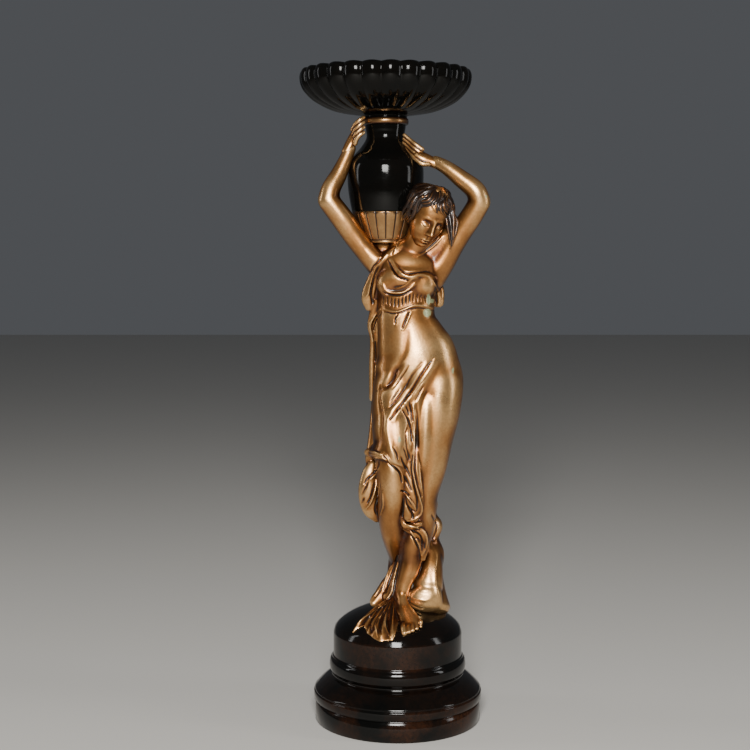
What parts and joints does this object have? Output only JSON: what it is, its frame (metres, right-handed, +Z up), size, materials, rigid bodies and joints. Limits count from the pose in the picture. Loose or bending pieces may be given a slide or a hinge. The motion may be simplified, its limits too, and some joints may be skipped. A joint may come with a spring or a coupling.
{
  "type": "bronze woman statue carrying an urn and bowl",
  "caption": "Standing draped woman in gold bronze who steadies a black and gold urn with a fluted bowl on her shoulder, on a round stepped black plinth.",
  "frame": {"origin": "middle of the plinth's underside", "axes": "+Z up the statue, -Y the way she faces the viewer, +X to the viewer's right"},
  "size_m": [0.4691, 0.4639, 1.5903],
  "materials": {
    "gold_bronze": "satin gold bronze with a dark brown patina in the folds",
    "black_lacquer": "gloss black, worn to brown bronze on the edges"
  },
  "bodies": {
    "root": {"plinth": "black_lacquer", "woman": "gold_bronze", "urn": "black_lacquer", "bowl": "black_lacquer"}
  },
  "joints": []
}
